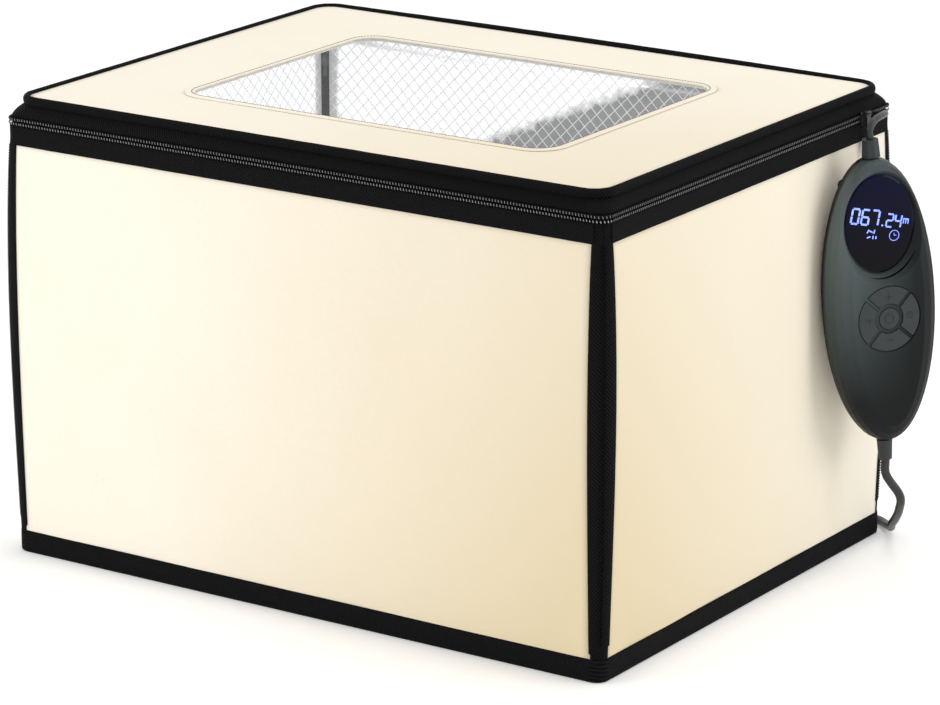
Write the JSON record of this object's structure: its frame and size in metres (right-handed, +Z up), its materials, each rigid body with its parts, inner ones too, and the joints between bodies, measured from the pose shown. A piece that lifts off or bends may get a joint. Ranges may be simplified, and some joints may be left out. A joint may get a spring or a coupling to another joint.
{
  "type": "folding dough proofer",
  "caption": "Zipped cream cloth box with a clear window in its lid, foil lining, heating mat and hand controller; the walls fold flat",
  "frame": {"origin": "centre of the base on the surface that it rests on", "axes": "-Y towards the front, +X towards the controller's wall, +Z up"},
  "size_m": [0.446, 0.4074, 0.2665],
  "materials": {
    "stiff_board": "matt",
    "cream_cloth": "woven",
    "foil_lining": "metallised, quilted",
    "black_webbing": "woven",
    "zip_coil": "semi gloss",
    "clear_film": "clear gloss",
    "mat_sheet": "matt",
    "heating_foil": "satin",
    "dark_plastic": "fine matt",
    "key_rubber": "matt",
    "black_lens": "gloss",
    "green_board": "satin",
    "slider_metal": "semi gloss",
    "screw_steel": "satin",
    "cord_jacket": "satin",
    "blade_metal": "satin"
  },
  "bodies": {
    "base": {"base_board": "stiff_board", "base_rails": "stiff_board", "base_cover": "cream_cloth", "base_binding": "black_webbing", "floor_lining": "foil_lining", "mat_lower_sheet": "mat_sheet", "mat_upper_sheet": "mat_sheet", "heating_track": "heating_foil", "mat_gland": "key_rubber", "back_board": "stiff_board", "back_cover": "cream_cloth", "back_lining": "foil_lining", "back_zip_tape": "black_webbing", "back_zip_coil": "zip_coil", "lid_hinge_strip": "black_webbing", "heater_lead": "cord_jacket", "mains_cord": "cord_jacket", "cord_coil": "cord_jacket", "mains_plug": "cord_jacket", "plug_blades": "blade_metal"},
    "front_wall": {"front_board": "stiff_board", "front_cover": "cream_cloth", "front_lining": "foil_lining", "front_zip_tape": "black_webbing", "front_zip_coil": "zip_coil"},
    "left_wall": {"left_board": "stiff_board", "left_cover": "cream_cloth", "left_lining": "foil_lining", "left_zip_tape": "black_webbing", "left_zip_coil": "zip_coil"},
    "right_wall": {"right_board": "stiff_board", "right_cover": "cream_cloth", "right_lining": "foil_lining", "right_zip_tape": "black_webbing", "right_zip_coil": "zip_coil", "controller_rear_shell": "dark_plastic", "controller_front_shell": "dark_plastic", "display_lens": "black_lens", "circuit_board": "green_board", "strain_reliefs": "key_rubber", "housing_screws": "screw_steel"},
    "lid": {"lid_board": "stiff_board", "lid_cover": "cream_cloth", "lid_lining": "foil_lining", "lid_skirt": "black_webbing", "lid_zip_coil": "zip_coil", "rim_piping": "black_webbing", "window_film": "clear_film", "window_hem": "cream_cloth"},
    "zip_slider": {"lid_slider": "slider_metal"},
    "pull_tab": {"slider_pull": "slider_metal"},
    "left_corner_slider": {"corner_slider_fl": "slider_metal"},
    "front_corner_slider": {"corner_slider_fr": "slider_metal"},
    "power_key": {"power_button": "key_rubber"},
    "plus_key": {"plus_button": "key_rubber"},
    "minus_key": {"minus_button": "key_rubber"},
    "unit_key": {"unit_button": "key_rubber"},
    "timer_key": {"timer_button": "key_rubber"},
    "back_left_corner_slider": {"corner_slider_bl": "slider_metal"},
    "back_right_corner_slider": {"corner_slider_br": "slider_metal"}
  },
  "joints": [
    {"name": "front_fold", "type": "hinge", "parent": "base", "child": "front_wall", "pos_m": [0, -0.1505, 0.0147], "axis": [-1, 0, 0], "range_deg": [0, 90], "deforming": ["front_zip_tape", "front_zip_coil"]},
    {"name": "left_fold", "type": "hinge", "parent": "base", "child": "left_wall", "pos_m": [-0.1955, 0, 0.0112], "axis": [0, 1, 0], "range_deg": [0, 90], "deforming": ["left_zip_tape", "left_zip_coil"]},
    {"name": "right_fold", "type": "hinge", "parent": "base", "child": "right_wall", "pos_m": [0.1955, 0, 0.0182], "axis": [0, -1, 0], "range_deg": [0, 90], "deforming": ["right_zip_tape", "right_zip_coil", "heater_lead", "mains_cord"]},
    {"name": "lid_hinge", "type": "hinge", "parent": "base", "child": "lid", "pos_m": [0, 0.152, 0.253], "axis": [-1, 0, 0], "range_deg": [0, 110], "deforming": ["lid_hinge_strip"]},
    {"name": "zip_slide", "type": "slide", "parent": "lid", "child": "zip_slider", "axis": [0, -1, 0], "range_m": [0, 0.24]},
    {"name": "pull_swing", "type": "hinge", "parent": "zip_slider", "child": "pull_tab", "pos_m": [0.2013, 0.1175, 0.256], "axis": [0, -1, 0], "range_deg": [0, 150]},
    {"name": "left_corner_slide", "type": "slide", "parent": "left_wall", "child": "left_corner_slider", "axis": [0, 0, -1], "range_m": [0, 0.19]},
    {"name": "front_corner_slide", "type": "slide", "parent": "front_wall", "child": "front_corner_slider", "axis": [0, 0, -1], "range_m": [0, 0.19]},
    {"name": "back_left_corner_slide", "type": "slide", "parent": "base", "child": "back_left_corner_slider", "axis": [0, 0, -1], "range_m": [0, 0.19]},
    {"name": "back_right_corner_slide", "type": "slide", "parent": "base", "child": "back_right_corner_slider", "axis": [0, 0, -1], "range_m": [0, 0.19]},
    {"name": "power_press", "type": "slide", "parent": "right_wall", "child": "power_key", "axis": [-0.8192, 0.5736, 0], "range_m": [0, 0.0008], "stiffness_N_per_m": 400},
    {"name": "plus_press", "type": "slide", "parent": "right_wall", "child": "plus_key", "axis": [-0.8192, 0.5736, 0], "range_m": [0, 0.0008], "stiffness_N_per_m": 400},
    {"name": "minus_press", "type": "slide", "parent": "right_wall", "child": "minus_key", "axis": [-0.8192, 0.5736, 0], "range_m": [0, 0.0008], "stiffness_N_per_m": 400},
    {"name": "unit_press", "type": "slide", "parent": "right_wall", "child": "unit_key", "axis": [-0.8192, 0.5736, 0], "range_m": [0, 0.0008], "stiffness_N_per_m": 400},
    {"name": "timer_press", "type": "slide", "parent": "right_wall", "child": "timer_key", "axis": [-0.8192, 0.5736, 0], "range_m": [0, 0.0008], "stiffness_N_per_m": 400}
  ]
}
